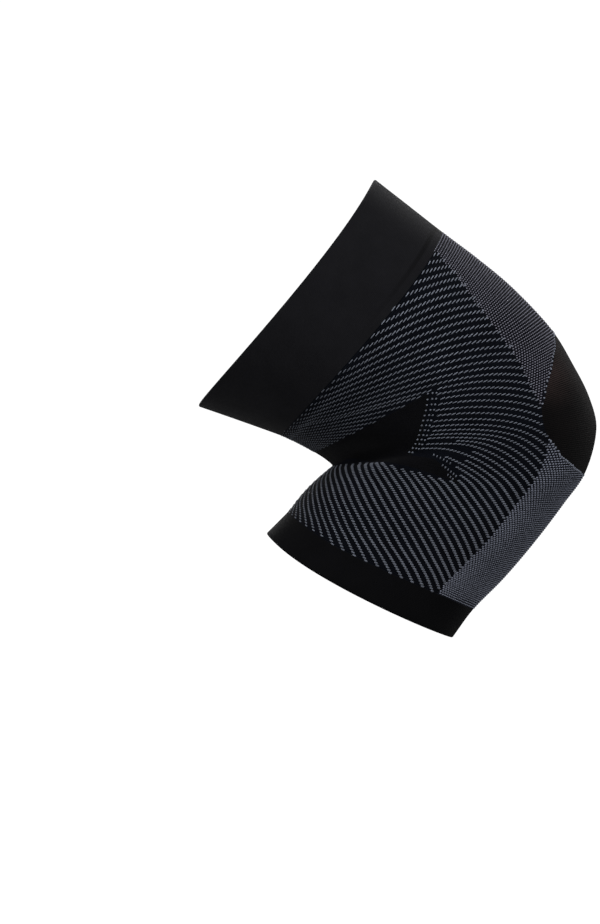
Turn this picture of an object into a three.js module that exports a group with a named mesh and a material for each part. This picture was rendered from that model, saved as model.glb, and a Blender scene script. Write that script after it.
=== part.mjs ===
// Knit compression sleeve for the knee, in the bent form that it has when it is worn.
// Millimetres, +Z up. +X points forward out of the kneecap and the sleeve mirrors about Y = 0.
// The tube is described in knit coordinates. A course runs once round the tube, and its place
// is 0 at the border of the thigh cuff and 1 at the border of the calf cuff. A wale runs along
// the tube, and its place is 0 at the back and 1 at the front.
import * as THREE from 'three';

// Walls of the knit, and the gap kept between two zones of it
const PANEL_WALL = 1.2;
const WINDOW_WALL = 1.0;
const CUFF_WALL = 2.0;
const ZONE_GAP = 0.3;

// Places of the two open rims, in courses
const THIGH_RIM = -0.19;
const CALF_RIM = 1.075;

// Fold behind the knee: it starts in the notch at the back and dies out on each side of the joint
const FOLD = { startX: -64.2, startZ: -39.3, endX: 6, endZ: -30.7 };
const FOLD_DEPTH = 6;
const FOLD_HALF_WIDTH = 6.5;
const FOLD_LEAD_IN = 0.3;

// Sections across the tube. Each runs from a point at its back to one at its front. halfWidth
// reaches from the mirror plane to the side, bow shifts the sides towards the calf, skew moves that
// bow to the back, or to the front below 0, and square flattens the sides, from 0 for an ellipse.
const SECTION_COLUMNS = ['at', 'frontX', 'frontZ', 'backX', 'backZ', 'halfWidth', 'bow', 'skew', 'square'];
const SECTIONS = [
  [-0.19, -42.1, 109.5, -133.8, -8.5, 67.0, 4.3, -0.5, 0.02],
  [-0.09, -24.8, 96.0, -112.5, -15.9, 66.0, 4.3, -0.5, 0.02],
  [0.0, -6.4, 81.6, -91.1, -23.6, 64.5, 4.3, -0.5, 0.02],
  [0.09, 11.2, 68.3, -84.8, -26.3, 62.5, 3.8, -0.35, 0.03],
  [0.18, 30.0, 52.5, -78.3, -29.6, 60.5, 3.1, -0.15, 0.03],
  [0.27, 49.9, 31.1, -72.3, -33.0, 59.0, 2.4, 0.0, 0.04],
  [0.345, 60.9, 13.1, -67.6, -36.1, 58.0, 1.6, 0.0, 0.04],
  [0.41, 69.1, -3.3, -64.2, -39.3, 57.5, 1.0, 0.0, 0.04],
  [0.47, 73.0, -19.8, -66.3, -41.3, 57.0, 0.8, 0.0, 0.04],
  [0.55, 67.6, -41.9, -69.4, -43.9, 56.0, 1.0, 0.0, 0.04],
  [0.64, 56.2, -58.7, -73.1, -47.1, 55.0, 1.4, 0.0, 0.03],
  [0.76, 40.7, -79.1, -77.7, -51.7, 53.5, 2.1, 0.2, 0.03],
  [0.88, 24.8, -97.8, -82.2, -56.9, 52.0, 2.6, 0.6, 0.02],
  [1.0, 8.9, -114.1, -87.2, -63.2, 50.5, 3.2, 0.95, 0.02],
  [1.075, -1.9, -128.8, -98.5, -74.6, 50.0, 4.4, 0.45, 0.02],
].map((row) => Object.fromEntries(row.map((value, column) => [SECTION_COLUMNS[column], value])));

// The zones lie on a plan of bands round the tube and strips along it. A band's place is -1 at the
// thigh rim, 0 at the thigh border, 1 and 2 at the upper and lower edges of the window and of the
// hollow panel, 3 at the calf border and 4 at the calf rim. A strip's place is 0 at the back,
// 1 at the side edge of the hollow panel, 2 at the side edge of the front zones and 3 in front.
const FIRST_BAND = -1;
const BAND_STEPS = [4, 8, 12, 9, 2];
const STRIP_STEPS = [12, 8, 7];
const ZONE_PLAN = [
  ['thigh_cuff', 'thigh_cuff', 'thigh_cuff'],
  ['striped_body', 'striped_body', 'thigh_front_panel'],
  ['knee_hollow_panel', 'striped_body', 'kneecap_window'],
  ['striped_body', 'striped_body', 'shin_panel'],
  ['calf_cuff', 'calf_cuff', 'calf_cuff'],
];

// Courses where the middle band starts and ends, along the strips
const BAND_EDGES = [
  { at: 0.0, upper: 0.25, lower: 0.41 },
  { at: 0.35, upper: 0.25, lower: 0.39 },
  { at: 0.6, upper: 0.25, lower: 0.46 },
  { at: 0.8, upper: 0.25, lower: 0.525 },
  { at: 1.0, upper: 0.25, lower: 0.59 },
  { at: 2.0, upper: 0.404, lower: 0.472 },
  { at: 2.15, upper: 0.36, lower: 0.512 },
  { at: 2.4, upper: 0.315, lower: 0.54 },
  { at: 2.7, upper: 0.283, lower: 0.557 },
  { at: 3.0, upper: 0.275, lower: 0.56 },
];

// Wales where the side edges of the hollow panel and of the front zones run, along the bands
const STRIP_EDGES = [
  { at: 0.0, hollow: 0.46, front: 0.8 },
  { at: 0.3, hollow: 0.47, front: 0.74 },
  { at: 0.6, hollow: 0.48, front: 0.7 },
  { at: 1.0, hollow: 0.485, front: 0.68 },
  { at: 1.3, hollow: 0.43, front: 0.672 },
  { at: 1.6, hollow: 0.38, front: 0.672 },
  { at: 1.7, hollow: 0.44, front: 0.673 },
  { at: 2.0, hollow: 0.52, front: 0.683 },
  { at: 3.0, hollow: 0.47, front: 0.69 },
];

// Finish of each zone
const ZONES = {
  thigh_cuff: { wall: CUFF_WALL, color: 0x121214, roughness: 0.85 },
  thigh_front_panel: { wall: PANEL_WALL, color: 0x45464f, roughness: 0.8 },
  striped_body: { wall: PANEL_WALL, color: 0x26282c, roughness: 0.8 },
  kneecap_window: { wall: WINDOW_WALL, color: 0x1a1716, roughness: 0.7 },
  shin_panel: { wall: PANEL_WALL, color: 0x3a3d46, roughness: 0.8 },
  knee_hollow_panel: { wall: PANEL_WALL, color: 0x101012, roughness: 0.85 },
  calf_cuff: { wall: CUFF_WALL, color: 0x121214, roughness: 0.85 },
};

// Step used to find a normal from two neighbouring points
const NORMAL_STEP = 0.002;

function rowBefore(rows, at) {
  let index = 0;
  while (index < rows.length - 2 && at > rows[index + 1].at) {
    index += 1;
  }
  return index;
}

function slope(rows, key, index) {
  const before = rows[Math.max(index - 1, 0)];
  const after = rows[Math.min(index + 1, rows.length - 1)];
  return (after[key] - before[key]) / (after.at - before.at);
}

// Smooth value of one column of a table
function curveThrough(rows, key, at) {
  const index = rowBefore(rows, at);
  const from = rows[index];
  const to = rows[index + 1];
  const span = to.at - from.at;
  const t = (at - from.at) / span;
  const ease = t * t * (3 - 2 * t);
  const leave = t * (1 - t) * (1 - t) * span * slope(rows, key, index);
  const arrive = t * t * (t - 1) * span * slope(rows, key, index + 1);
  return from[key] * (1 - ease) + to[key] * ease + leave + arrive;
}

// Straight-line value of one column of a table
function lineThrough(rows, key, at) {
  const index = rowBefore(rows, at);
  const from = rows[index];
  const to = rows[index + 1];
  return THREE.MathUtils.lerp(from[key], to[key], (at - from.at) / (to.at - from.at));
}

// Point of the stretched tube before the fold is pressed in. angle is 0 at the back, pi in front,
// and negative on the side of +Y.
function tubePoint(course, angle) {
  const frontX = curveThrough(SECTIONS, 'frontX', course);
  const frontZ = curveThrough(SECTIONS, 'frontZ', course);
  const backX = curveThrough(SECTIONS, 'backX', course);
  const backZ = curveThrough(SECTIONS, 'backZ', course);
  const halfWidth = curveThrough(SECTIONS, 'halfWidth', course);
  const bow = curveThrough(SECTIONS, 'bow', course);
  const skew = curveThrough(SECTIONS, 'skew', course);
  const square = curveThrough(SECTIONS, 'square', course);
  const forward = 0.5 - (0.5 * (Math.cos(angle) - square * Math.cos(3 * angle))) / (1 - square);
  const sideways = (Math.sin(angle) + square * Math.sin(3 * angle)) / (1 - square);
  const depth = Math.hypot(frontX - backX, frontZ - backZ);
  const shift = (bow * sideways * sideways * (1 + skew * Math.cos(angle))) / depth;
  const x = backX + (frontX - backX) * forward + (frontZ - backZ) * shift;
  const z = backZ + (frontZ - backZ) * forward - (frontX - backX) * shift;
  return new THREE.Vector3(x, -halfWidth * sideways, z);
}

function normalOf(surface, course, angle) {
  const alongTube = surface(course + NORMAL_STEP, angle).sub(surface(course - NORMAL_STEP, angle));
  const roundTube = surface(course, angle + NORMAL_STEP).sub(surface(course, angle - NORMAL_STEP));
  return alongTube.cross(roundTube).normalize();
}

function foldDepth(point) {
  const runX = FOLD.endX - FOLD.startX;
  const runZ = FOLD.endZ - FOLD.startZ;
  const run = Math.hypot(runX, runZ);
  const fromX = point.x - FOLD.startX;
  const fromZ = point.z - FOLD.startZ;
  const along = (fromX * runX + fromZ * runZ) / (run * run);
  const across = (fromX * runZ - fromZ * runX) / run;
  const fade = THREE.MathUtils.smoothstep(along, 0, FOLD_LEAD_IN) * Math.max(1 - along, 0);
  return FOLD_DEPTH * fade * Math.exp(-((across / FOLD_HALF_WIDTH) ** 2));
}

// Outer face of the sleeve
function skinPoint(course, angle) {
  const point = tubePoint(course, angle);
  const inward = normalOf(tubePoint, course, angle).negate();
  return point.addScaledVector(inward, foldDepth(point));
}

// Places of the grid lines: each band or strip is cut into its own number of steps
function gridPlaces(first, steps) {
  const places = [first];
  steps.forEach((count, block) => {
    for (let step = 1; step <= count; step += 1) {
      places.push(first + block + step / count);
    }
  });
  return places;
}

const bandPlaces = gridPlaces(FIRST_BAND, BAND_STEPS);
const stripPlaces = gridPlaces(0, STRIP_STEPS);
const rowCount = bandPlaces.length;
const halfTurn = stripPlaces.length - 1;
const columnCount = 2 * halfTurn;

function courseOf(band, strip) {
  const upper = lineThrough(BAND_EDGES, 'upper', strip);
  const lower = lineThrough(BAND_EDGES, 'lower', strip);
  const stops = [THIGH_RIM, 0, upper, lower, 1, CALF_RIM];
  const block = Math.min(Math.floor(band - FIRST_BAND), stops.length - 2);
  return THREE.MathUtils.lerp(stops[block], stops[block + 1], band - FIRST_BAND - block);
}

function waleOf(band, strip) {
  const lastBand = STRIP_EDGES[STRIP_EDGES.length - 1].at;
  const onBody = THREE.MathUtils.clamp(band, 0, lastBand);
  const hollow = lineThrough(STRIP_EDGES, 'hollow', onBody);
  const front = lineThrough(STRIP_EDGES, 'front', onBody);
  const stops = [0, hollow, front, 1];
  const block = Math.min(Math.floor(strip), stops.length - 2);
  return THREE.MathUtils.lerp(stops[block], stops[block + 1], strip - block);
}

// Columns run from the back along the side of -Y to the front, and home along the side of +Y
function stripIndex(column) {
  return column <= halfTurn ? column : columnCount - column;
}

function gridVertex(row, column) {
  const band = bandPlaces[row];
  const strip = stripPlaces[stripIndex(column)];
  const course = courseOf(band, strip);
  const side = column <= halfTurn ? 1 : -1;
  const angle = side * Math.PI * waleOf(band, strip);
  return { point: skinPoint(course, angle), normal: normalOf(skinPoint, course, angle) };
}

const grid = bandPlaces.map((band, row) =>
  Array.from({ length: columnCount }, (unused, column) => gridVertex(row, column)));

function zoneOfCell(row, column) {
  const middleBand = (bandPlaces[row] + bandPlaces[row + 1]) / 2 - FIRST_BAND;
  const middleStrip = (stripPlaces[stripIndex(column)] + stripPlaces[stripIndex(column + 1)]) / 2;
  return ZONE_PLAN[Math.floor(middleBand)][Math.floor(middleStrip)];
}

// Corners of a cell, in turn as seen from outside
function cellCorners(row, column) {
  const next = (column + 1) % columnCount;
  return [[row, column], [row + 1, column], [row + 1, next], [row, next]];
}

// Same corners, starting at an end of the shorter diagonal
function fromShorterDiagonal([a, b, c, d]) {
  const [atA, atB, atC, atD] = [a, b, c, d].map(([row, column]) => grid[row][column].point);
  return atA.distanceTo(atC) <= atB.distanceTo(atD) ? [a, b, c, d] : [b, c, d, a];
}

function vertexKey([row, column]) {
  return row * columnCount + column;
}

function zoneCells(zone) {
  const cells = [];
  for (let row = 0; row < rowCount - 1; row += 1) {
    for (let column = 0; column < columnCount; column += 1) {
      if (zoneOfCell(row, column) === zone) {
        cells.push(cellCorners(row, column));
      }
    }
  }
  return cells;
}

// Edges that only one cell of the zone has
function rimEdges(cells) {
  const edges = new Map();
  for (const corners of cells) {
    corners.forEach((from, side) => {
      const to = corners[(side + 1) % corners.length];
      const reverse = `${vertexKey(to)},${vertexKey(from)}`;
      if (!edges.delete(reverse)) {
        edges.set(`${vertexKey(from)},${vertexKey(to)}`, [from, to]);
      }
    });
  }
  return [...edges.values()];
}

// Direction in the face, square to an edge, that points into the zone
function intoZone(from, to) {
  const start = grid[from[0]][from[1]];
  const end = grid[to[0]][to[1]];
  const along = end.point.clone().sub(start.point);
  const normal = start.normal.clone().add(end.normal);
  return normal.cross(along).normalize();
}

// Shift of each rim vertex that leaves half of the gap along both of its rim edges
function rimShifts(edges) {
  const inwardAt = new Map();
  for (const [from, to] of edges) {
    const inward = intoZone(from, to);
    for (const corner of [from, to]) {
      const key = vertexKey(corner);
      inwardAt.set(key, [...(inwardAt.get(key) ?? []), inward]);
    }
  }
  const shifts = new Map();
  for (const [key, [first, second]] of inwardAt) {
    const miter = first.clone().add(second).divideScalar(1 + first.dot(second));
    shifts.set(key, miter.multiplyScalar(ZONE_GAP / 2));
  }
  return shifts;
}

// Closed wall over all cells of one zone
function zoneGeometry(zone) {
  const cells = zoneCells(zone);
  const edges = rimEdges(cells);
  const shifts = rimShifts(edges);
  const positions = [];
  const outerIndex = new Map();
  const outer = (corner) => {
    const key = vertexKey(corner);
    if (!outerIndex.has(key)) {
      const { point, normal } = grid[corner[0]][corner[1]];
      const face = point.clone().add(shifts.get(key) ?? new THREE.Vector3());
      const back = face.clone().addScaledVector(normal, -ZONES[zone].wall);
      outerIndex.set(key, positions.length / 3);
      positions.push(...face.toArray(), ...back.toArray());
    }
    return outerIndex.get(key);
  };
  const inner = (corner) => outer(corner) + 1;
  const triangles = [];
  for (const corners of cells) {
    const [a, b, c, d] = fromShorterDiagonal(corners);
    triangles.push(outer(a), outer(b), outer(c), outer(a), outer(c), outer(d));
    triangles.push(inner(a), inner(c), inner(b), inner(a), inner(d), inner(c));
  }
  // Walls that face each other across a gap are cut along the same diagonal
  for (const [from, to] of edges) {
    if (vertexKey(from) < vertexKey(to)) {
      triangles.push(outer(to), outer(from), inner(from), outer(to), inner(from), inner(to));
    } else {
      triangles.push(outer(to), outer(from), inner(to), outer(from), inner(from), inner(to));
    }
  }
  const geometry = new THREE.BufferGeometry();
  geometry.setAttribute('position', new THREE.Float32BufferAttribute(positions, 3));
  geometry.setIndex(triangles);
  geometry.computeVertexNormals();
  return geometry;
}

const sleeve = new THREE.Group();
for (const [zone, { color, roughness }] of Object.entries(ZONES)) {
  const material = new THREE.MeshStandardMaterial({ color, roughness, metalness: 0 });
  const mesh = new THREE.Mesh(zoneGeometry(zone), material);
  mesh.name = zone;
  sleeve.add(mesh);
}

export default sleeve;
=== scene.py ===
# Knit compression sleeve for the knee, in the bent form that it has when it is worn.
import math

import bmesh
import bpy
import numpy as np
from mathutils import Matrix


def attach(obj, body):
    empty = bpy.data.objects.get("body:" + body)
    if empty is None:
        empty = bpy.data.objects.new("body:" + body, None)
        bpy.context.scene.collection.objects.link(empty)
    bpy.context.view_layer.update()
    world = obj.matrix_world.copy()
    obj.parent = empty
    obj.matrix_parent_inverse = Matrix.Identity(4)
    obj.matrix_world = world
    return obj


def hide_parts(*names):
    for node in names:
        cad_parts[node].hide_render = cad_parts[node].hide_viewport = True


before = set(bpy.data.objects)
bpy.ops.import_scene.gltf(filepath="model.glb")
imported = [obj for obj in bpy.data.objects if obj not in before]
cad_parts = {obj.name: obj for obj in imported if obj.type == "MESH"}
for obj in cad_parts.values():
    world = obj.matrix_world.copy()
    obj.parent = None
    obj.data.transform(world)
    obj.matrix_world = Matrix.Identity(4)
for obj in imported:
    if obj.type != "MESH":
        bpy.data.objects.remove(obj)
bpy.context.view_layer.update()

MM = 0.001

# Sections across the tube, from a point at its back to one at its front, in millimetres. The bow
# shifts the sides towards the calf, and the skew moves that bow to the back, or to the front below 0.
# Courses run round the tube, from 0 at the thigh border to 1 at the calf border.
SECTION_COLUMNS = ("at", "front_x", "front_z", "back_x", "back_z", "half_width", "bow", "skew", "square")
SECTIONS = np.array([
    (-0.19, -42.1, 109.5, -133.8, -8.5, 67.0, 4.3, -0.5, 0.02),
    (-0.09, -24.8, 96.0, -112.5, -15.9, 66.0, 4.3, -0.5, 0.02),
    (0.0, -6.4, 81.6, -91.1, -23.6, 64.5, 4.3, -0.5, 0.02),
    (0.09, 11.2, 68.3, -84.8, -26.3, 62.5, 3.8, -0.35, 0.03),
    (0.18, 30.0, 52.5, -78.3, -29.6, 60.5, 3.1, -0.15, 0.03),
    (0.27, 49.9, 31.1, -72.3, -33.0, 59.0, 2.4, 0.0, 0.04),
    (0.345, 60.9, 13.1, -67.6, -36.1, 58.0, 1.6, 0.0, 0.04),
    (0.41, 69.1, -3.3, -64.2, -39.3, 57.5, 1.0, 0.0, 0.04),
    (0.47, 73.0, -19.8, -66.3, -41.3, 57.0, 0.8, 0.0, 0.04),
    (0.55, 67.6, -41.9, -69.4, -43.9, 56.0, 1.0, 0.0, 0.04),
    (0.64, 56.2, -58.7, -73.1, -47.1, 55.0, 1.4, 0.0, 0.03),
    (0.76, 40.7, -79.1, -77.7, -51.7, 53.5, 2.1, 0.2, 0.03),
    (0.88, 24.8, -97.8, -82.2, -56.9, 52.0, 2.6, 0.6, 0.02),
    (1.0, 8.9, -114.1, -87.2, -63.2, 50.5, 3.2, 0.95, 0.02),
    (1.075, -1.9, -128.8, -98.5, -74.6, 50.0, 4.4, 0.45, 0.02),
])
THIGH_RIM = SECTIONS[0, 0]
CALF_RIM = SECTIONS[-1, 0]

# Fold across the hollow panel, in millimetres: x and z of its ends, its depth, and its width towards
# each rim. It deepens over the lead-in, a share of its length, and then fades out.
FOLD_START = (-64.2, -37.0)
FOLD_END = (6.0, -30.7)
FOLD_DEPTH = 6.0
FOLD_THIGH_WIDTH = 7.5
FOLD_CALF_WIDTH = 2.6
FOLD_LEAD_IN = 0.3

# Courses where the middle band starts and ends, along the strips
BAND_EDGE_COLUMNS = ("at", "upper", "lower")
BAND_EDGES = np.array([
    (0.0, 0.25, 0.41),
    (0.35, 0.25, 0.39),
    (0.6, 0.25, 0.46),
    (0.8, 0.25, 0.525),
    (1.0, 0.25, 0.59),
    (2.0, 0.404, 0.472),
    (2.15, 0.36, 0.512),
    (2.4, 0.315, 0.54),
    (2.7, 0.283, 0.557),
    (3.0, 0.275, 0.56),
])

# Wales where the side edges of the hollow panel and of the front zones run, along the bands. Wales
# run down the tube, from 0 at the middle of its back to 1 at the middle of its front.
STRIP_EDGE_COLUMNS = ("at", "hollow", "front")
STRIP_EDGES = np.array([
    (0.0, 0.46, 0.8),
    (0.3, 0.47, 0.74),
    (0.6, 0.48, 0.7),
    (1.0, 0.485, 0.68),
    (1.3, 0.43, 0.672),
    (1.6, 0.38, 0.672),
    (1.7, 0.44, 0.673),
    (2.0, 0.52, 0.683),
    (3.0, 0.47, 0.69),
])

# Steps of the cloth in each band and strip. Block 0 of the bands is the thigh cuff.
BAND_STEPS = (12, 30, 36, 36, 6)
STRIP_STEPS = (24, 24, 24)

# Slope of the stripes: wales that one crosses per course unit, at five wales from the back of the tube
# to the edge of the front zones. edge counts the stripes per wale unit along that edge, and stitches
# the stitches that a stripe has per course unit besides those that its slope gives.
STRIPE_WALES = {"back": 0.15, "calf": 0.28, "flank": 0.42, "side": 0.5, "front": 0.66}
STRIPE_COLUMNS = ("at", *STRIPE_WALES, "edge", "stitches")
STRIPES = np.array([
    (0.0, 1.0, 1.0, 1.35, 1.7, 1.55, 27.0, 35),
    (0.1, 1.1, 1.05, 1.5, 1.8, 1.75, 25.5, 35),
    (0.2, 1.2, 1.35, 2.0, 2.25, 2.2, 24.0, 40),
    (0.25, 1.2, 1.5, 2.2, 2.45, 2.3, 24.5, 50),
    (0.3, 1.2, 1.5, 2.0, 1.9, 1.85, 26.3, 68),
    (0.36, 0.6, 0.6, 2.3, 2.0, 1.65, 28.7, 70),
    (0.42, 0.3, 0.2, 2.6, 2.2, 1.5, 31.3, 72),
    (0.438, 0.4, 0.25, 2.7, 2.3, 1.45, 32.8, 72),
    (0.462, 0.48, 0.35, 1.4, 1.45, 1.38, 34.5, 72),
    (0.52, 0.55, 0.44, 0.6, 1.28, 1.4, 39.0, 70),
    (0.555, 0.56, 0.45, 0.6, 1.08, 1.3, 39.0, 68),
    (0.6, 0.57, 0.45, 0.58, 0.75, 1.2, 39.0, 66),
    (0.7, 0.66, 0.61, 0.68, 0.8, 1.15, 38.0, 58),
    (0.85, 0.67, 0.68, 0.83, 0.95, 1.22, 35.0, 54),
    (0.95, 0.85, 0.88, 1.03, 1.12, 1.28, 31.5, 56),
    (1.0, 1.3, 1.2, 1.28, 1.35, 1.42, 30.0, 60),
])
STITCHES_PER_WALE = 80
# Stripes per wale unit where they end at the calf border and at the upper edge of the hollow panel,
# and the wales between which they end there. The last value is the course of that upper edge.
CALF_STRIPES = ((0.15, 24.5), (0.35, 26), (0.5, 27.5), (0.7, 30))
CALF_STRIPE_WALES = (0.69, 0.01)
HOLLOW_STRIPES = ((0.15, 40), (0.3, 33), (0.4, 26), (0.49, 24))
HOLLOW_STRIPE_WALES = (0.487, 0.01)
HOLLOW_UPPER = 0.249

# Stitches of the stripes, in millimetres, with their lean off the course in radians and how pale they are
STITCH_COLUMNS = ("at", "length", "width", "lean", "pale")
STRIPE_STITCHES = np.array([
    (0.0, 3.7, 0.62, 0.04, 1.0),
    (0.2, 3.7, 0.60, 0.04, 0.93),
    (0.3, 3.0, 0.58, 0.04, 0.74),
    (0.45, 2.3, 0.68, 0.03, 0.59),
    (0.55, 1.95, 0.93, 0.0, 0.57),
    (0.7, 2.1, 1.12, -0.02, 0.545),
    (0.9, 2.2, 1.15, -0.02, 0.535),
    (1.0, 2.2, 1.15, -0.02, 0.535),
])
STRIPE_HEIGHT = 0.28
# Towards the back, above the hollow panel, they are packed closer and shorter. They are also darker there:
# partly less of the pale yarn shows, and partly it is painted shade where the thigh's back turns from the
# light
PACKED_WALES = (0.2, 0.36, 0.46, 0.54)
PACKED_LENGTH = (0.6, 0.8, 0.95, 1.0)
PACKED_PALE_AND_SHADE = (0.28, 0.34, 0.58, 0.95)
# Towards the back of the lower half they are fewer, narrower and paler: shares of what the tables give
LOWER_COURSES = (0.45, 0.52)
LOWER_WALES = (0.12, 0.3, 0.5, 0.62)
LOWER_STITCHES = (0.66, 0.74, 0.97, 1.0)
LOWER_LENGTH = (1.0, 1.05, 1.0, 1.0)
LOWER_WIDTH = (0.68, 0.74, 0.92, 1.0)
LOWER_PALE = (1.2, 1.2, 1.05, 1.0)

# Columns of dots along the side of the hollow panel: course and wale of the ends of the first one, and
# how many wale units each column is off it
HOLLOW_DOTS_FROM = (0.252, 0.4825)
HOLLOW_DOTS_TO = (0.442, 0.3725)
HOLLOW_DOT_COLUMNS = (0.0, 0.011, 0.02)
# Beside the panel a stripe ends where it would run closer than these gaps to the next one
CROWDED_COURSES = (0.36, 0.5)
CROWDED_WALES = (0.38, 0.45, 0.53)
CROWDED_GAPS = (0.036, 0.03, 0.02)
# Part round the hollow panel that the stripes leave clear: wale and course of each corner
STRIPES_CLEAR = np.array([
    (-0.05, 0.249), (0.509, 0.249), (0.399, 0.442), (0.447, 0.470), (0.482, 0.508), (0.502, 0.546),
    (0.505, 0.567), (0.497, 0.577), (0.467, 0.563), (0.419, 0.538), (0.369, 0.509), (0.323, 0.476),
    (0.28, 0.447), (0.23, 0.424), (0.16, 0.412), (-0.05, 0.430),
])
# Ticks where the stripes break up along the lower lobe of the hollow panel: course and wale of the
# ends of each row, and how many it has
LOBE_TICK_ROWS = (
    ((0.470, 0.434), (0.508, 0.474), 6),
    ((0.513, 0.460), (0.555, 0.498), 6),
    ((0.550, 0.480), (0.567, 0.495), 3),
)
# Rows of bright dots along the borders of the kneecap window: band, course off the border, and how many
WINDOW_BORDERS = ((1.0, -0.003, 27), (2.0, 0.002, 34))
WINDOW_DOT_STRIPS = (2.02, 2.99)

# Single stitches, in millimetres, with their lean in radians and how pale they are
HOLLOW_DOT = dict(length=1.15, width=0.9, height=0.3, lean=0.2, pale=0.68)
LOBE_TICK = dict(length=1.35, width=0.75, height=0.28, lean=1.0, pale=0.55)
FRONT_DOT = dict(length=1.1, width=0.66, height=0.25, lean=0.0, pale=1.0)
SHIN_DOT = dict(length=1.35, width=0.78, height=0.25, lean=0.2, pale=1.0)
WINDOW_DOT = dict(length=1.25, width=1.05, height=0.3, lean=0.0, pale=0.85)
# Wales between the birdseye dots of one course, and how far the front ones reach over their side edge
FRONT_DOT_PERIOD = 0.009
FRONT_DOT_REACH = 0.008
SHIN_DOT_PERIOD = 0.0097
# Every stitch: how high its middle is over the skin, how blunt its ends are, and how its shade varies
STITCH_LIFT = 0.05
STITCH_BLUNTNESS = 0.6
YARN_SHADES = (0.75, 1.0)
YARN_SEED = 7

# Courses per course unit
COURSE_RATES = (
    (THIGH_RIM, 160), (0.0, 165), (0.1, 180), (0.2, 208), (0.32, 196), (0.5, 188), (0.6, 176), (1.0, 160),
)

# Steps of the lines that are followed on the skin
COUNT_STEPS = 4001
TRACE_STEPS = 1501
SPACING_STEPS = 600
EDGE_STEPS = 400
CROSSING_STEPS = 201
OUTLINE_STEPS = 60
# Course units and radians to each side of a point, over which the slopes of the skin are taken
NORMAL_STEP = 0.002
# Small parts of a block and of a wale unit, which keep a point on its own side of a line
LINE_NUDGE = 1e-9
CENTRE_NUDGE = 1e-6


# The form of the tube and the plan of its zones

def table_value(table, columns, name, at):
    return np.interp(at, table[:, 0], table[:, columns.index(name)])


def running_count(rate, places):
    """Counts from the first place on, from how many there are per unit at each place."""
    return np.concatenate([[0], np.cumsum((rate[1:] + rate[:-1]) / 2 * np.diff(places))])


def count_courses():
    """Courses from the thigh border on, against their place along the sleeve."""
    places = np.linspace(THIGH_RIM, CALF_RIM, COUNT_STEPS)
    counts = running_count(np.interp(places, *zip(*COURSE_RATES)), places)
    return places, counts - np.interp(0, places, counts)


COURSE_PLACES, COURSE_COUNTS = count_courses()


def course_number(place):
    return np.interp(place, COURSE_PLACES, COURSE_COUNTS)


def course_place(number):
    return np.interp(number, COURSE_COUNTS, COURSE_PLACES)


def section_value(name, course):
    """A column of the sections, on a smooth curve through its rows."""
    places = SECTIONS[:, 0]
    values = SECTIONS[:, SECTION_COLUMNS.index(name)]
    ends = np.arange(len(places))
    before = np.maximum(ends - 1, 0)
    after = np.minimum(ends + 1, len(places) - 1)
    slopes = (values[after] - values[before]) / (places[after] - places[before])
    row = np.clip(np.searchsorted(places, course) - 1, 0, len(places) - 2)
    span = places[row + 1] - places[row]
    t = (course - places[row]) / span
    ease = t * t * (3 - 2 * t)
    leave = t * (1 - t) ** 2 * span * slopes[row]
    arrive = t * t * (t - 1) * span * slopes[row + 1]
    return values[row] * (1 - ease) + values[row + 1] * ease + leave + arrive


def tube_point(course, angle):
    """Point of the tube in millimetres, before the fold. The angle is 0 at the back and pi at the front."""
    front_x, front_z, back_x, back_z, half_width, bow, skew, square = (
        section_value(name, course) for name in SECTION_COLUMNS[1:])
    forward = 0.5 - 0.5 * (np.cos(angle) - square * np.cos(3 * angle)) / (1 - square)
    sideways = (np.sin(angle) + square * np.sin(3 * angle)) / (1 - square)
    bow = bow * sideways ** 2 * (1 + skew * np.cos(angle))
    shift = bow / np.hypot(front_x - back_x, front_z - back_z)
    x = back_x + (front_x - back_x) * forward + (front_z - back_z) * shift
    z = back_z + (front_z - back_z) * forward - (front_x - back_x) * shift
    return np.stack([x, -half_width * sideways, z], axis=-1)


def unit(vectors):
    return vectors / np.linalg.norm(vectors, axis=-1, keepdims=True)


def slopes_of(surface, course, angle):
    step = NORMAL_STEP
    along_tube = (surface(course + step, angle) - surface(course - step, angle)) / (2 * step)
    round_tube = (surface(course, angle + step) - surface(course, angle - step)) / (2 * step)
    return along_tube, round_tube


def fold_depth(points):
    run = np.subtract(FOLD_END, FOLD_START)
    reach = np.hypot(*run)
    away = points[..., [0, 2]] - FOLD_START
    along = (away @ run) / reach ** 2
    across = (away[..., 0] * run[1] - away[..., 1] * run[0]) / reach
    start = np.clip(along / FOLD_LEAD_IN, 0, 1)
    fade = start * start * (3 - 2 * start) * np.clip(1 - along, 0, None)
    width = np.where(across > 0, FOLD_CALF_WIDTH, FOLD_THIGH_WIDTH)
    return FOLD_DEPTH * fade * np.exp(-(across / width) ** 2)


def skin_point(course, angle):
    """Point of the outer skin in millimetres, with the fold pressed in."""
    points = tube_point(course, angle)
    along_tube, round_tube = slopes_of(tube_point, course, angle)
    outward = unit(np.cross(along_tube, round_tube))
    return points - outward * fold_depth(points)[..., None]


def between_stops(stops, place):
    """Value at a place: its whole part picks the stop before it, and the rest runs to the next one."""
    block = np.clip(np.floor(place).astype(int), 0, len(stops) - 2)
    start = np.take_along_axis(stops, block[None], axis=0)[0]
    end = np.take_along_axis(stops, block[None] + 1, axis=0)[0]
    return start + (end - start) * (place - block)


def course_of(band, strip):
    upper = table_value(BAND_EDGES, BAND_EDGE_COLUMNS, "upper", strip)
    lower = table_value(BAND_EDGES, BAND_EDGE_COLUMNS, "lower", strip)
    level = np.full_like(upper, 1.0)
    stops = np.stack([THIGH_RIM * level, 0 * level, upper, lower, level, CALF_RIM * level])
    return between_stops(stops, band + 1)


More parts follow.
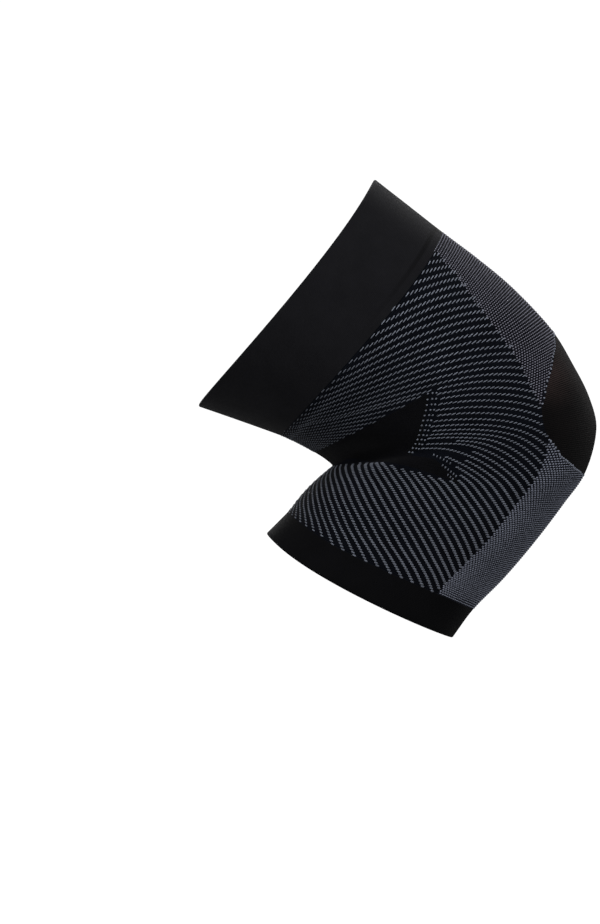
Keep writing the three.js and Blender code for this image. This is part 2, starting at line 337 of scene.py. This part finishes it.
def wale_of(band, strip):
    on_body = np.clip(band, 0, 3)
    hollow = table_value(STRIP_EDGES, STRIP_EDGE_COLUMNS, "hollow", on_body)
    front = table_value(STRIP_EDGES, STRIP_EDGE_COLUMNS, "front", on_body)
    level = np.full_like(hollow, 1.0)
    stops = np.stack([0 * level, hollow, front, level])
    return between_stops(stops, strip)


def block_outline(band, strip):
    """Wales and courses round the edge of one block of the zone plan."""
    go = np.linspace(0, 1, OUTLINE_STEPS, endpoint=False)
    still = np.zeros(OUTLINE_STEPS)
    bands = np.concatenate([still, go, still + 1, 1 - go]) + band
    strips = np.concatenate([go, still + 1, 1 - go, still]) + strip
    return np.stack([wale_of(bands, strips), course_of(bands, strips)], axis=-1)


def inside(outline, wales, courses):
    hit = np.zeros(wales.shape, bool)
    for (w0, c0), (w1, c1) in zip(outline, np.roll(outline, -1, axis=0)):
        if c0 == c1:
            continue
        spans = (courses < c0) != (courses < c1)
        hit ^= spans & (wales < w0 + (courses - c0) * (w1 - w0) / (c1 - c0))
    return hit


# Materials

# Uneven yarn and loose fibres: sizes of the noise, and what the fibres do to the roughness and relief
DRIFT_SCALE = 70.0
FIBRE_SCALE = 2600.0
NOISE_DETAIL = 4.0
NOISE_ROUGHNESS = 0.65
FIBRE_GAIN = 1.5
FIBRE_ROUNDING = 0.2
SMOOTH_YARN = 0.1
SHEEN_ROUGHNESS = 0.5
# Knit grounds: shares of the tone, and its range from the dark to the light colour
LOOP_TONE = 0.5
DRIFT_TONE = 0.5
KNIT_TONES = (0.2, 0.75)
KNIT_ROUGHNESS = 0.9
KNIT_FIBRE_ROUGHNESS = 0.12
KNIT_FIBRE_RELIEF = 0.25
KNIT_RELIEF_DEPTH = 0.0004
# Sunken line of a seam: wales that it fades in over, and courses off it where it starts and is full
SEAM_WALES = (0.45, 0.9)
SEAM_COURSES = (1.1, 0.3)
SEAM_TINT = 0.75
SEAM_DARKNESS = 0.25
SEAM_DEPTH = 2.0
# Warm tone: wales that it fades in over, its shares, and the tones of the loops that take it
WARM_WALES = (0.95, 0.75)
WARM_SHARE = 0.9
WARM_LEAST = 0.06
WARM_TONES = (0.2, 0.6)
# Lighter yarn
YARN_TONES = (0.2, 1.0)
YARN_OWN_SHADE = 0.85
YARN_FIBRE_SHADE = 0.3
YARN_ROUGHNESS = 0.8
YARN_FIBRE_ROUGHNESS = 0.15
YARN_SHEEN = 0.1
YARN_SPECULAR = 0.15
YARN_RELIEF = 0.3
YARN_RELIEF_DEPTH = 0.0002


def node(tree, kind, **inputs):
    made = tree.nodes.new("ShaderNode" + kind)
    for name, value in inputs.items():
        made.inputs[name.replace("_", " ")].default_value = value
    return made


def math_node(tree, operation, *values):
    made = tree.nodes.new("ShaderNodeMath")
    made.operation = operation
    for socket, value in zip(made.inputs, values):
        if hasattr(value, "links"):
            tree.links.new(value, socket)
        else:
            socket.default_value = value
    return made.outputs[0]


def ramp(tree, factor, stops):
    made = tree.nodes.new("ShaderNodeValToRGB")
    while len(made.color_ramp.elements) < len(stops):
        made.color_ramp.elements.new(1.0)
    for element, (place, colour) in zip(made.color_ramp.elements, stops):
        element.position = place
        element.color = (*colour, 1)
    tree.links.new(factor, made.inputs["Fac"])
    return made.outputs["Color"]


def between(tree, value, start, end):
    """Runs smoothly from 0 at start to 1 at end."""
    made = tree.nodes.new("ShaderNodeMapRange")
    made.interpolation_type = "SMOOTHSTEP"
    made.inputs["From Min"].default_value = start
    made.inputs["From Max"].default_value = end
    tree.links.new(value, made.inputs["Value"])
    return made.outputs["Result"]


def tint(tree, colour, mask, other):
    made = tree.nodes.new("ShaderNodeMix")
    made.data_type = "RGBA"
    made.inputs["B"].default_value = (*other, 1)
    tree.links.new(mask, made.inputs["Factor"])
    tree.links.new(colour, made.inputs["A"])
    return made.outputs["Result"]


def knit_place(tree):
    """Wale and counted course, from the piece's own UV map."""
    knit = tree.nodes.new("ShaderNodeUVMap")
    knit.uv_map = "knit"
    split = tree.nodes.new("ShaderNodeSeparateXYZ")
    tree.links.new(knit.outputs["UV"], split.inputs[0])
    return split.outputs["X"], split.outputs["Y"]


def yarn_noise(tree):
    place = tree.nodes.new("ShaderNodeTexCoord")
    made = node(tree, "TexNoise", Detail=NOISE_DETAIL, Roughness=NOISE_ROUGHNESS)
    tree.links.new(place.outputs["Object"], made.inputs["Vector"])
    return made


def shader_group(name, inputs, outputs):
    """A node group with its sockets, and the nodes at its two ends."""
    group = bpy.data.node_groups.new(name, "ShaderNodeTree")
    for socket_name, value in inputs.items():
        socket = group.interface.new_socket(socket_name, in_out="INPUT", socket_type="NodeSocketFloat")
        socket.default_value = value
    for socket_name in outputs:
        group.interface.new_socket(socket_name, in_out="OUTPUT", socket_type="NodeSocketFloat")
    return group, group.nodes.new("NodeGroupInput"), group.nodes.new("NodeGroupOutput")


def knit_loops_group():
    """Rows of V-shaped knit loops, laid on the piece's own wales and counted courses."""
    group, start, end = shader_group(
        "KnitLoops", {"Rows": 1.0, "Wales": 150.0, "Slant": 0.6}, ("Height", "Tone"))
    place_wale, place_course = knit_place(group)
    wale = math_node(group, "MULTIPLY", place_wale, start.outputs["Wales"])
    course = math_node(group, "MULTIPLY", place_course, start.outputs["Rows"])
    # Each loop has two sides, which lean towards the middle of the wale
    middle = math_node(group, "SUBTRACT", math_node(group, "FRACT", wale), 0.5)
    off_middle = math_node(group, "ABSOLUTE", middle)
    lean = math_node(group, "MULTIPLY", off_middle, start.outputs["Slant"])
    leaning = math_node(group, "ADD", course, lean)
    row_wave = math_node(group, "COSINE", math_node(group, "MULTIPLY", leaning, 2 * math.pi))
    row = math_node(group, "MULTIPLY_ADD", row_wave, 0.5, 0.5)
    side = math_node(group, "SINE", math_node(group, "MULTIPLY", off_middle, 2 * math.pi))
    height = math_node(group, "MULTIPLY", row, math_node(group, "SQRT", side))
    group.links.new(height, end.inputs["Height"])
    # Yarn is uneven: the tone drifts along the piece
    drift = yarn_noise(group)
    drift.inputs["Scale"].default_value = DRIFT_SCALE
    uneven = math_node(group, "MULTIPLY", drift.outputs["Fac"], DRIFT_TONE)
    tone = math_node(group, "MULTIPLY_ADD", height, LOOP_TONE, uneven)
    group.links.new(tone, end.inputs["Tone"])
    return group


def yarn_fuzz_group():
    """Loose fibres on the face of the yarn."""
    group, start, end = shader_group("YarnFuzz", {"Scale": FIBRE_SCALE}, ("Height", "Mask"))
    fibres = yarn_noise(group)
    group.links.new(start.outputs["Scale"], fibres.inputs["Scale"])
    group.links.new(fibres.outputs["Fac"], end.inputs["Height"])
    strong = math_node(group, "MULTIPLY", fibres.outputs["Fac"], FIBRE_GAIN)
    mask = math_node(group, "SMOOTH_MIN", strong, 1.0, FIBRE_ROUNDING)
    group.links.new(mask, end.inputs["Mask"])
    return group


KNIT_LOOPS = knit_loops_group()
YARN_FUZZ = yarn_fuzz_group()


def fabric_material(name, sheen, specular):
    """A material whose shader is set for cloth, with the loose fibres of its yarn."""
    made = bpy.data.materials.new(name)
    made.use_nodes = True
    tree = made.node_tree
    shader = tree.nodes["Principled BSDF"]
    shader.inputs["Sheen Weight"].default_value = sheen
    shader.inputs["Sheen Roughness"].default_value = SHEEN_ROUGHNESS
    shader.inputs["Specular IOR Level"].default_value = specular
    fuzz = tree.nodes.new("ShaderNodeGroup")
    fuzz.node_tree = YARN_FUZZ
    return made, tree, shader, fuzz


def roughen(tree, shader, fuzz, roughness, fibre_roughness):
    worn = math_node(tree, "MULTIPLY_ADD", fuzz.outputs["Mask"], fibre_roughness, roughness - SMOOTH_YARN)
    tree.links.new(worn, shader.inputs["Roughness"])


def raise_relief(tree, shader, height, strength, depth):
    bump = node(tree, "Bump", Strength=strength, Distance=depth)
    tree.links.new(height, bump.inputs["Height"])
    tree.links.new(bump.outputs["Normal"], shader.inputs["Normal"])


def knit_material(name, dark, light, rows, wales, slant=0.6, relief=0.5, sheen=0.02, specular=0.05,
                  seam=None, warm=None):
    """Knit ground: loops from the piece's own UV map, with uneven yarn. seam is the course of a sunken
    line that fades towards the back; warm is a colour with the courses where it is full and where it ends."""
    made, tree, shader, fuzz = fabric_material(name, sheen, specular)
    loops = tree.nodes.new("ShaderNodeGroup")
    loops.node_tree = KNIT_LOOPS
    for socket, value in (("Rows", rows), ("Wales", wales), ("Slant", slant)):
        loops.inputs[socket].default_value = value
    colour = ramp(tree, loops.outputs["Tone"], tuple(zip(KNIT_TONES, (dark, light))))
    height = math_node(tree, "MULTIPLY_ADD", fuzz.outputs["Height"], KNIT_FIBRE_RELIEF,
                       loops.outputs["Height"])
    wale, course = knit_place(tree)
    if seam is not None:
        off_line = math_node(tree, "ABSOLUTE", math_node(tree, "SUBTRACT", course, seam))
        to_front = between(tree, wale, *SEAM_WALES)
        line = math_node(tree, "MULTIPLY", between(tree, off_line, *SEAM_COURSES), to_front)
        mask = math_node(tree, "MULTIPLY", line, SEAM_TINT)
        colour = tint(tree, colour, mask, [SEAM_DARKNESS * value for value in dark])
        height = math_node(tree, "MULTIPLY_ADD", line, -SEAM_DEPTH, height)
    if warm is not None:
        warm_colour, warm_full, warm_end = warm
        fading = math_node(tree, "MULTIPLY", between(tree, course, warm_end, warm_full),
                           between(tree, wale, *WARM_WALES))
        warmth = math_node(tree, "MULTIPLY_ADD", fading, WARM_SHARE, WARM_LEAST)
        patches = math_node(tree, "MULTIPLY", warmth, between(tree, loops.outputs["Tone"], *WARM_TONES))
        colour = tint(tree, colour, patches, warm_colour)
    tree.links.new(colour, shader.inputs["Base Color"])
    roughen(tree, shader, fuzz, KNIT_ROUGHNESS, KNIT_FIBRE_ROUGHNESS)
    raise_relief(tree, shader, height, relief, KNIT_RELIEF_DEPTH)
    return made


def yarn_material(name, dark, light):
    """Lighter yarn that floats over the ground: each stitch has its own shade, which on the stripes near the
    thigh's back also holds painted shade.
    """
    made, tree, shader, fuzz = fabric_material(name, YARN_SHEEN, YARN_SPECULAR)
    shade = tree.nodes.new("ShaderNodeAttribute")
    shade.attribute_name = "shade"
    own = math_node(tree, "MULTIPLY", shade.outputs["Fac"], YARN_OWN_SHADE)
    mixed = math_node(tree, "MULTIPLY_ADD", fuzz.outputs["Height"], YARN_FIBRE_SHADE, own)
    colour = ramp(tree, mixed, tuple(zip(YARN_TONES, (dark, light))))
    tree.links.new(colour, shader.inputs["Base Color"])
    roughen(tree, shader, fuzz, YARN_ROUGHNESS, YARN_FIBRE_ROUGHNESS)
    raise_relief(tree, shader, fuzz.outputs["Height"], YARN_RELIEF, YARN_RELIEF_DEPTH)
    return made


THIGH_CUFF_KNIT = knit_material(
    "thigh_cuff_knit", (0.0044, 0.0044, 0.0053), (0.0098, 0.0098, 0.0116), rows=2.0, wales=260,
    relief=0.12, seam=-3.4)
CALF_CUFF_KNIT = knit_material(
    "calf_cuff_knit", (0.002, 0.002, 0.0024), (0.0044, 0.0044, 0.0051), rows=2.0, wales=260,
    relief=0.15, specular=0.02)
HOLLOW_KNIT = knit_material(
    "hollow_knit", (0.0015, 0.0015, 0.002), (0.0038, 0.0038, 0.0048), rows=1.0, wales=200, specular=0.03)
STRIPED_GROUND = knit_material(
    "striped_ground", (0.0008, 0.0010, 0.0017), (0.0034, 0.0043, 0.0078), rows=1.0, wales=150, specular=0.03)
FRONT_GROUND = knit_material(
    "front_ground", (0.0016, 0.0016, 0.0028), (0.007, 0.007, 0.0115), rows=1.0, wales=222, specular=0.03)
SHEER_KNIT = knit_material(
    "sheer_knit", (0.0007, 0.0007, 0.0009), (0.0022, 0.0019, 0.0021), rows=1.3, wales=150, slant=0.1,
    specular=0.025, sheen=0.04, warm=((0.031, 0.0205, 0.0195), 62, 82))
SHIN_GROUND = knit_material(
    "shin_ground", (0.003, 0.0035, 0.0055), (0.012, 0.0138, 0.0205), rows=1.0, wales=206, specular=0.03)
GREY_YARN = yarn_material("grey_yarn", (0.017, 0.020, 0.028), (0.195, 0.215, 0.262))
FRONT_YARN = yarn_material("front_yarn", (0.05, 0.05, 0.066), (0.18, 0.18, 0.225))
SHIN_YARN = yarn_material("shin_yarn", (0.05, 0.055, 0.072), (0.185, 0.20, 0.255))


# Cloth of the zones

# Blocks are named by their band and strip, and walls are in millimetres
ZONES = {
    "thigh_cuff": dict(blocks=((-1, 0), (-1, 1), (-1, 2)), wall=2.0, finish=THIGH_CUFF_KNIT,
                       slot="knit_black"),
    "thigh_front_panel": dict(blocks=((0, 2),), wall=1.2, finish=FRONT_GROUND, slot="knit_front"),
    "striped_body": dict(blocks=((0, 0), (0, 1), (1, 1), (2, 0), (2, 1)), wall=1.2, finish=STRIPED_GROUND,
                         slot="knit_striped"),
    "kneecap_window": dict(blocks=((1, 2),), wall=1.0, finish=SHEER_KNIT, slot="knit_sheer"),
    "shin_panel": dict(blocks=((2, 2),), wall=1.2, finish=SHIN_GROUND, slot="knit_shin"),
    "knee_hollow_panel": dict(blocks=((1, 0),), wall=1.2, finish=HOLLOW_KNIT, slot="knit_black"),
    "calf_cuff": dict(blocks=((3, 0), (3, 1), (3, 2)), wall=2.0, finish=CALF_CUFF_KNIT, slot="knit_black"),
}
SIDES = {"near": 1, "far": -1}
# Rounded hem of a cuff: radius in millimetres, steps of the round, the least angle of the edges that
# it takes in radians, and how near to a rim they lie in course units
HEM_RADIUS = 0.8
HEM_STEPS = 3
HEM_ANGLE = 0.8
HEM_REACH = 1e-4
# Points closer than this, in metres, are one
WELD_REACH = 2e-6
SHARP_ANGLE = math.radians(50)


def set_piece(name, mesh, finish):
    mesh.materials.append(finish)
    piece = bpy.data.objects.new(name, mesh)
    bpy.context.scene.collection.objects.link(piece)
    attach(piece, "root")
    return piece


def lay_block(bm, band, strip, side):
    """One block of the zone plan, as a grid that is laid on the outer skin of the tube."""
    wale_layer = bm.verts.layers.float["wale"]
    course_layer = bm.verts.layers.float["course"]
    made = bmesh.ops.create_grid(bm, x_segments=STRIP_STEPS[strip], y_segments=BAND_STEPS[band + 1], size=1.0)
    verts = made["verts"]
    flat = np.array([vert.co for vert in verts])[:, :2]
    low, high = flat.min(axis=0), flat.max(axis=0)
    # The last line of a block belongs to it, not to the next one
    shares = np.minimum((flat - low) / (high - low), 1 - LINE_NUDGE)
    strips, bands = strip + shares[:, 0], band + shares[:, 1]
    wales, courses = wale_of(bands, strips), course_of(bands, strips)
    points = skin_point(courses, side * math.pi * wales) * MM
    for vert, point, wale, course in zip(verts, points, wales, courses):
        vert.co = point
        vert[wale_layer] = wale
        vert[course_layer] = course
    if side > 0:
        faces = {face for vert in verts for face in vert.link_faces}
        bmesh.ops.reverse_faces(bm, faces=list(faces))


def round_hem(bm):
    """Rounds the open rim of a cuff."""
    course_layer = bm.verts.layers.float["course"]
    rims = (THIGH_RIM, CALF_RIM)
    hem = [edge for edge in bm.edges
           if all(min(abs(vert[course_layer] - rim) for rim in rims) < HEM_REACH for vert in edge.verts)
           and len(edge.link_faces) == 2 and edge.calc_face_angle() > HEM_ANGLE]
    bmesh.ops.bevel(bm, geom=hem, offset=HEM_RADIUS * MM, offset_type="OFFSET", segments=HEM_STEPS,
                    profile=0.5, affect="EDGES", material=-1, clamp_overlap=True)


def knit_zone(name, blocks, wall, finish, slot):
    """Cloth of one zone, with its wall, in place of the zone's CAD node."""
    bm = bmesh.new()
    bm.verts.layers.float.new("wale")
    bm.verts.layers.float.new("course")
    for band, strip in blocks:
        for side in SIDES.values():
            lay_block(bm, band, strip, side)
    wale_layer = bm.verts.layers.float["wale"]
    course_layer = bm.verts.layers.float["course"]
    bmesh.ops.remove_doubles(bm, verts=bm.verts, dist=WELD_REACH)
    knit = bm.loops.layers.uv.new("knit")
    for face in bm.faces:
        for loop in face.loops:
            loop[knit].uv = (loop.vert[wale_layer], course_number(loop.vert[course_layer]))
    bmesh.ops.solidify(bm, geom=list(bm.faces), thickness=wall * MM)
    if name.endswith("cuff"):
        round_hem(bm)
    for face in bm.faces:
        face.smooth = True
    mesh = bpy.data.meshes.new(name)
    bm.to_mesh(mesh)
    bm.free()
    mesh.set_sharp_from_angle(angle=SHARP_ANGLE)
    piece = set_piece(name + "_cloth", mesh, finish)
    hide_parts(name)
    return piece


CLOTH = {name: knit_zone(name, **facts) for name, facts in ZONES.items()}


# Stitches of lighter yarn

def stitch_template():
    """Points and faces of one stitch with blunt ends, along x."""
    bm = bmesh.new()
    bmesh.ops.create_icosphere(bm, subdivisions=1, radius=1.0)
    bm.verts.ensure_lookup_table()
    points = np.array([vert.co for vert in bm.verts])
    faces = np.array([[vert.index for vert in face.verts] for face in bm.faces])
    bm.free()
    points[:, 0] = np.sign(points[:, 0]) * np.abs(points[:, 0]) ** STITCH_BLUNTNESS
    return points, faces


STITCH_POINTS, STITCH_FACES = stitch_template()
UNEVEN = np.random.default_rng(YARN_SEED)


def stitch_piece(name, courses, angles, finish, slot, length, width, height, lean, pale):
    """Joined stitches. Each lies along its course, turned by its lean, half sunk in the ground. Their
    measures are one number for all of them, or one for each."""
    count = len(courses)
    length, width, height, lean = (
        (value * np.ones(count))[:, None] for value in (length, width, height, lean))
    along_tube, round_tube = slopes_of(skin_point, courses, angles)
    outward = unit(np.cross(along_tube, round_tube))
    mirror = np.sign(angles)[:, None]
    along_course = unit(round_tube) * mirror
    across_course = np.cross(outward, along_course) * mirror
    length_axis = np.cos(lean) * along_course + np.sin(lean) * across_course
    width_axis = np.cross(outward, length_axis)
    middle = skin_point(courses, angles) + outward * STITCH_LIFT
    frames = np.stack([length_axis * length / 2, width_axis * width / 2, outward * height], axis=1)
    points = middle[:, None, :] + np.einsum("pk,nkx->npx", STITCH_POINTS, frames)
    faces = STITCH_FACES[None] + (np.arange(count) * len(STITCH_POINTS))[:, None, None]
    mesh = bpy.data.meshes.new(name)
    mesh.from_pydata((points.reshape(-1, 3) * MM).tolist(), [], faces.reshape(-1, 3).tolist())
    mesh.polygons.foreach_set("use_smooth", np.ones(len(mesh.polygons), bool))
    shades = UNEVEN.uniform(*YARN_SHADES, count) * pale
    layer = mesh.attributes.new("shade", "FLOAT", "POINT")
    layer.data.foreach_set("value", np.repeat(shades, len(STITCH_POINTS)).astype(np.float32))
    set_piece(name, mesh, finish)


def both_sides(courses, wales):
    """Courses and angles of stitches on both sides. Those on the centre line of the front are laid once."""
    off_centre = wales < 1 - CENTRE_NUDGE
    angles = math.pi * np.concatenate([wales, -wales[off_centre]])
    return np.concatenate([courses, courses[off_centre]]), angles


def spaced(density, start, end):
    """Places between start and end, at the spacing that the counts per unit give."""
    places = np.linspace(start, end, SPACING_STEPS)
    counts = np.abs(running_count(np.interp(places, *zip(*density)), places))
    return np.interp(np.arange(0.5, counts[-1]), counts, places)


def front_edge(courses):
    """Wale where the front zones start, at each course."""
    bands = np.linspace(0, 3 - LINE_NUDGE, EDGE_STEPS)
    edge = np.full(EDGE_STEPS, 2 - LINE_NUDGE)
    return np.interp(courses, course_of(bands, edge), wale_of(bands, edge))


def stripe_slope(course, wales):
    slopes = [table_value(STRIPES, STRIPE_COLUMNS, name, course) for name in STRIPE_WALES]
    return np.interp(wales, list(STRIPE_WALES.values()), slopes)


def stripe_starts():
    """Lower ends of the stripes: at the calf border, the front zones and the hollow panel."""
    courses = np.linspace(0, 1, CROSSING_STEPS)
    edge = front_edge(courses)
    slopes = np.array([stripe_slope(course, wale) for course, wale in zip(courses, edge)])
    counts = table_value(STRIPES, STRIPE_COLUMNS, "edge", courses)
    crossings = list(zip(courses, counts * (slopes - np.gradient(edge, courses))))
    starts = [(1.0, wale) for wale in spaced(CALF_STRIPES, *CALF_STRIPE_WALES)]
    starts += [(course, front_edge(course)) for course in spaced(crossings, 1.0, 0.0)]
    starts += [(HOLLOW_UPPER, wale) for wale in spaced(HOLLOW_STRIPES, *HOLLOW_STRIPE_WALES)]
    return np.array(starts)


def end_crowded(wales, running, alive):
    """Ends the stripes that run too close to the next one."""
    beside = np.flatnonzero(running & alive & (wales > CROWDED_WALES[0]) & (wales < CROWDED_WALES[-1]))
    kept = -1.0
    for stripe in beside[np.argsort(wales[beside])]:
        if wales[stripe] - kept < np.interp(wales[stripe], CROWDED_WALES, CROWDED_GAPS):
            alive[stripe] = False
        else:
            kept = wales[stripe]


def stripe_paths():
    """Each stripe is followed from its lower end up the sleeve. Gives the courses of the steps, and
    the wale of every stripe at each of them, which is nan where the stripe isn't there."""
    hollow = block_outline(1, 0)
    starts = stripe_starts()
    steps = np.linspace(1, 0, TRACE_STEPS)
    wales = starts[:, 1].copy()
    alive = np.ones(len(starts), bool)
    paths = np.full((TRACE_STEPS, len(starts)), np.nan)
    for row, course in enumerate(steps):
        running = alive & (starts[:, 0] >= course)
        wales[running] -= stripe_slope(course, wales[running]) * (steps[0] - steps[1])
        alive &= ~(running & ((wales < 0) | inside(hollow, wales, np.full(len(wales), course))))
        if CROWDED_COURSES[0] < course < CROWDED_COURSES[1]:
            end_crowded(wales, running, alive)
        paths[row, running & alive] = wales[running & alive]
    return steps, paths


def lower_share(shares, courses, wales):
    """A share by wale on the lower half of the sleeve, and 1 on the upper half."""
    on_lower = np.interp(courses, LOWER_COURSES, (0.0, 1.0))
    return 1 + on_lower * (np.interp(wales, LOWER_WALES, shares) - 1)


def stripe_places():
    """Courses and wales of the stripe stitches."""
    steps, paths = stripe_paths()
    own = running_count(table_value(STRIPES, STRIPE_COLUMNS, "stitches", steps), steps)
    found = []
    for path in paths.T:
        held = ~np.isnan(path)
        if held.sum() < 2:
            continue
        courses, wales = steps[held][::-1], path[held][::-1]
        counts = (STITCHES_PER_WALE * path + own)[held][::-1]
        share = lower_share(LOWER_STITCHES, courses, wales)
        counts = counts[0] + np.concatenate([[0], np.cumsum(np.diff(counts) * share[1:])])
        numbers = np.arange(np.ceil(counts[0]), counts[-1])
        found.append([np.interp(numbers, counts, values) for values in (courses, wales)])
    return np.concatenate(found, axis=1)


def striped_stitches():
    courses, wales = stripe_places()
    keep = np.zeros(courses.shape, bool)
    for band, strip in ZONES["striped_body"]["blocks"]:
        keep |= inside(block_outline(band, strip), wales, courses)
    keep &= ~inside(STRIPES_CLEAR, wales, courses)
    courses, wales = courses[keep], wales[keep]
    length, width, lean, pale = (
        table_value(STRIPE_STITCHES, STITCH_COLUMNS, name, courses) for name in STITCH_COLUMNS[1:])
    packed = courses < HOLLOW_UPPER
    length = length * np.where(packed, np.interp(wales, PACKED_WALES, PACKED_LENGTH), 1.0)
    # Darker towards the thigh's back: partly hidden yarn, partly painted shade
    pale = pale * np.where(packed, np.interp(wales, PACKED_WALES, PACKED_PALE_AND_SHADE), 1.0)
    length = length * lower_share(LOWER_LENGTH, courses, wales)
    width = width * lower_share(LOWER_WIDTH, courses, wales)
    pale = pale * lower_share(LOWER_PALE, courses, wales)
    for side, sign in SIDES.items():
        stitch_piece("stripe_stitches_" + side, courses, sign * math.pi * wales, GREY_YARN, "knit_striped",
                     length, width, STRIPE_HEIGHT, lean, pale)


def hollow_edge_dots():
    numbers = np.arange(*course_number((HOLLOW_DOTS_FROM[0], HOLLOW_DOTS_TO[0])))
    courses = course_place(numbers)
    column = np.array(HOLLOW_DOT_COLUMNS)[np.arange(len(numbers)) % len(HOLLOW_DOT_COLUMNS)]
    wales = np.interp(courses, *zip(HOLLOW_DOTS_FROM, HOLLOW_DOTS_TO)) + column
    stitch_piece("hollow_edge_dots", *both_sides(courses, wales), GREY_YARN, "knit_striped", **HOLLOW_DOT)


def lobe_ticks():
    rows = [np.linspace(start, end, count) for start, end, count in LOBE_TICK_ROWS]
    courses, wales = np.concatenate(rows).T
    stitch_piece("lobe_ticks", *both_sides(courses, wales), GREY_YARN, "knit_striped", **LOBE_TICK)


def birdseye_stitches(name, block, period, dot, finish, slot, reach=0.0):
    """Dots on every course, moved by half a period from one course to the next. They reach over the side
    edge of their zone by that part of a wale unit."""
    outline = block_outline(*block)
    numbers = np.arange(*np.ceil(course_number((outline[:, 1].min(), outline[:, 1].max()))))
    steps = np.arange(1, outline[:, 0].min(), -period)
    courses = np.repeat(course_place(numbers), len(steps))
    wales = (steps[None, :] - (numbers % 2)[:, None] * period / 2).ravel()
    keep = inside(outline, np.clip(wales + reach, 0, 1 - CENTRE_NUDGE), courses)
    stitch_piece(name, *both_sides(courses[keep], wales[keep]), finish, slot, **dot)


def window_border_dots():
    rows = []
    for band, offset, count in WINDOW_BORDERS:
        strips = np.linspace(*WINDOW_DOT_STRIPS, count)
        bands = np.full(count, band)
        rows.append([course_of(bands, strips) + offset, wale_of(bands, strips)])
    courses, wales = np.concatenate(rows, axis=1)
    stitch_piece("window_border_dots", *both_sides(courses, wales), GREY_YARN, "knit_shin", **WINDOW_DOT)


striped_stitches()
hollow_edge_dots()
lobe_ticks()
birdseye_stitches("front_birdseye", (0, 2), FRONT_DOT_PERIOD, FRONT_DOT, FRONT_YARN, "knit_front",
                  reach=FRONT_DOT_REACH)
birdseye_stitches("shin_birdseye", (2, 2), SHIN_DOT_PERIOD, SHIN_DOT, SHIN_YARN, "knit_shin")
window_border_dots()


# Floor, light and camera

# Floor, in metres: pale as the camera sees it, with little light thrown back on the sleeve
FLOOR_RADIUS = 1.6
FLOOR_STEPS = 64
FLOOR_PLACE = (-0.03, 0, -0.30)
FLOOR_THROWN = (0.25, 0.25, 0.25)
FLOOR_SEEN = (0.95, 0.95, 0.95)
FLOOR_GLOW = 0.7
FLOOR_ROUGHNESS = 0.9
# Studio: its light on the sleeve, and how much more the camera sees
WHITE = (1, 1, 1, 1)
STUDIO_LIGHT = 0.16
STUDIO_SEEN_MORE = 0.91
# Lights, in metres and watts
LIGHTS = (
    dict(name="key_light", place=(0.25, -1.3, 2.0), aim=(-0.03, 0, 0), size=1.0, power=44),
    dict(name="front_light", place=(1.6, -0.9, -0.1), aim=(-0.03, 0, 0), size=0.8, power=12),
    dict(name="back_light", place=(-0.4, 2.0, 0.8), aim=(-0.06, 0, 0), size=1.2, power=22),
    dict(name="low_light", place=(-1.6, -1.2, -0.2), aim=(-0.06, 0, 0), size=0.9, power=18),
    dict(name="far_light", place=(0.2, 1.4, 1.4), aim=(-0.03, 0, 0), size=0.9, power=20),
)
# Camera: lens and sensor in millimetres, place in metres
CAMERA_LENS = 180
CAMERA_SENSOR = 36
CAMERA_PLACE = (-0.081, -2.4025, -0.0374)


def pale_floor():
    bm = bmesh.new()
    bmesh.ops.create_circle(bm, cap_ends=True, radius=FLOOR_RADIUS, segments=FLOOR_STEPS)
    bmesh.ops.translate(bm, verts=bm.verts, vec=FLOOR_PLACE)
    mesh = bpy.data.meshes.new("pale_floor")
    bm.to_mesh(mesh)
    bm.free()
    finish = bpy.data.materials.new("pale_floor")
    finish.use_nodes = True
    tree = finish.node_tree
    shader = tree.nodes["Principled BSDF"]
    shader.inputs["Roughness"].default_value = FLOOR_ROUGHNESS
    shader.inputs["Specular IOR Level"].default_value = 0.0
    shader.inputs["Emission Color"].default_value = WHITE
    seen = node(tree, "LightPath").outputs["Is Camera Ray"]
    pale = ramp(tree, seen, ((0.0, FLOOR_THROWN), (1.0, FLOOR_SEEN)))
    tree.links.new(pale, shader.inputs["Base Color"])
    glow = math_node(tree, "MULTIPLY", seen, FLOOR_GLOW)
    tree.links.new(glow, shader.inputs["Emission Strength"])
    mesh.materials.append(finish)
    floor = bpy.data.objects.new("pale_floor", mesh)
    bpy.context.scene.collection.objects.link(floor)


def white_studio():
    world = bpy.data.worlds.new("white_studio")
    bpy.context.scene.world = world
    world.use_nodes = True
    tree = world.node_tree
    background = tree.nodes["Background"]
    background.inputs["Color"].default_value = WHITE
    seen = node(tree, "LightPath").outputs["Is Camera Ray"]
    strength = math_node(tree, "MULTIPLY_ADD", seen, STUDIO_SEEN_MORE, STUDIO_LIGHT)
    tree.links.new(strength, background.inputs["Strength"])


def soft_light(name, place, aim, size, power):
    lamp = bpy.data.lights.new(name, "AREA")
    lamp.shape = "DISK"
    lamp.size = size
    lamp.energy = power
    made = bpy.data.objects.new(name, lamp)
    bpy.context.scene.collection.objects.link(made)
    made.location = place
    run = np.subtract(aim, place)
    made.rotation_euler = (math.acos(-run[2] / np.linalg.norm(run)), 0, math.atan2(-run[0], run[1]))


def side_camera():
    data = bpy.data.cameras.new("side_camera")
    data.lens = CAMERA_LENS
    data.sensor_width = CAMERA_SENSOR
    made = bpy.data.objects.new("side_camera", data)
    bpy.context.scene.collection.objects.link(made)
    made.location = CAMERA_PLACE
    made.rotation_euler = (math.pi / 2, 0, 0)
    bpy.context.scene.camera = made


pale_floor()
white_studio()
for light in LIGHTS:
    soft_light(**light)
side_camera()
bpy.context.scene.view_settings.view_transform = "Standard"
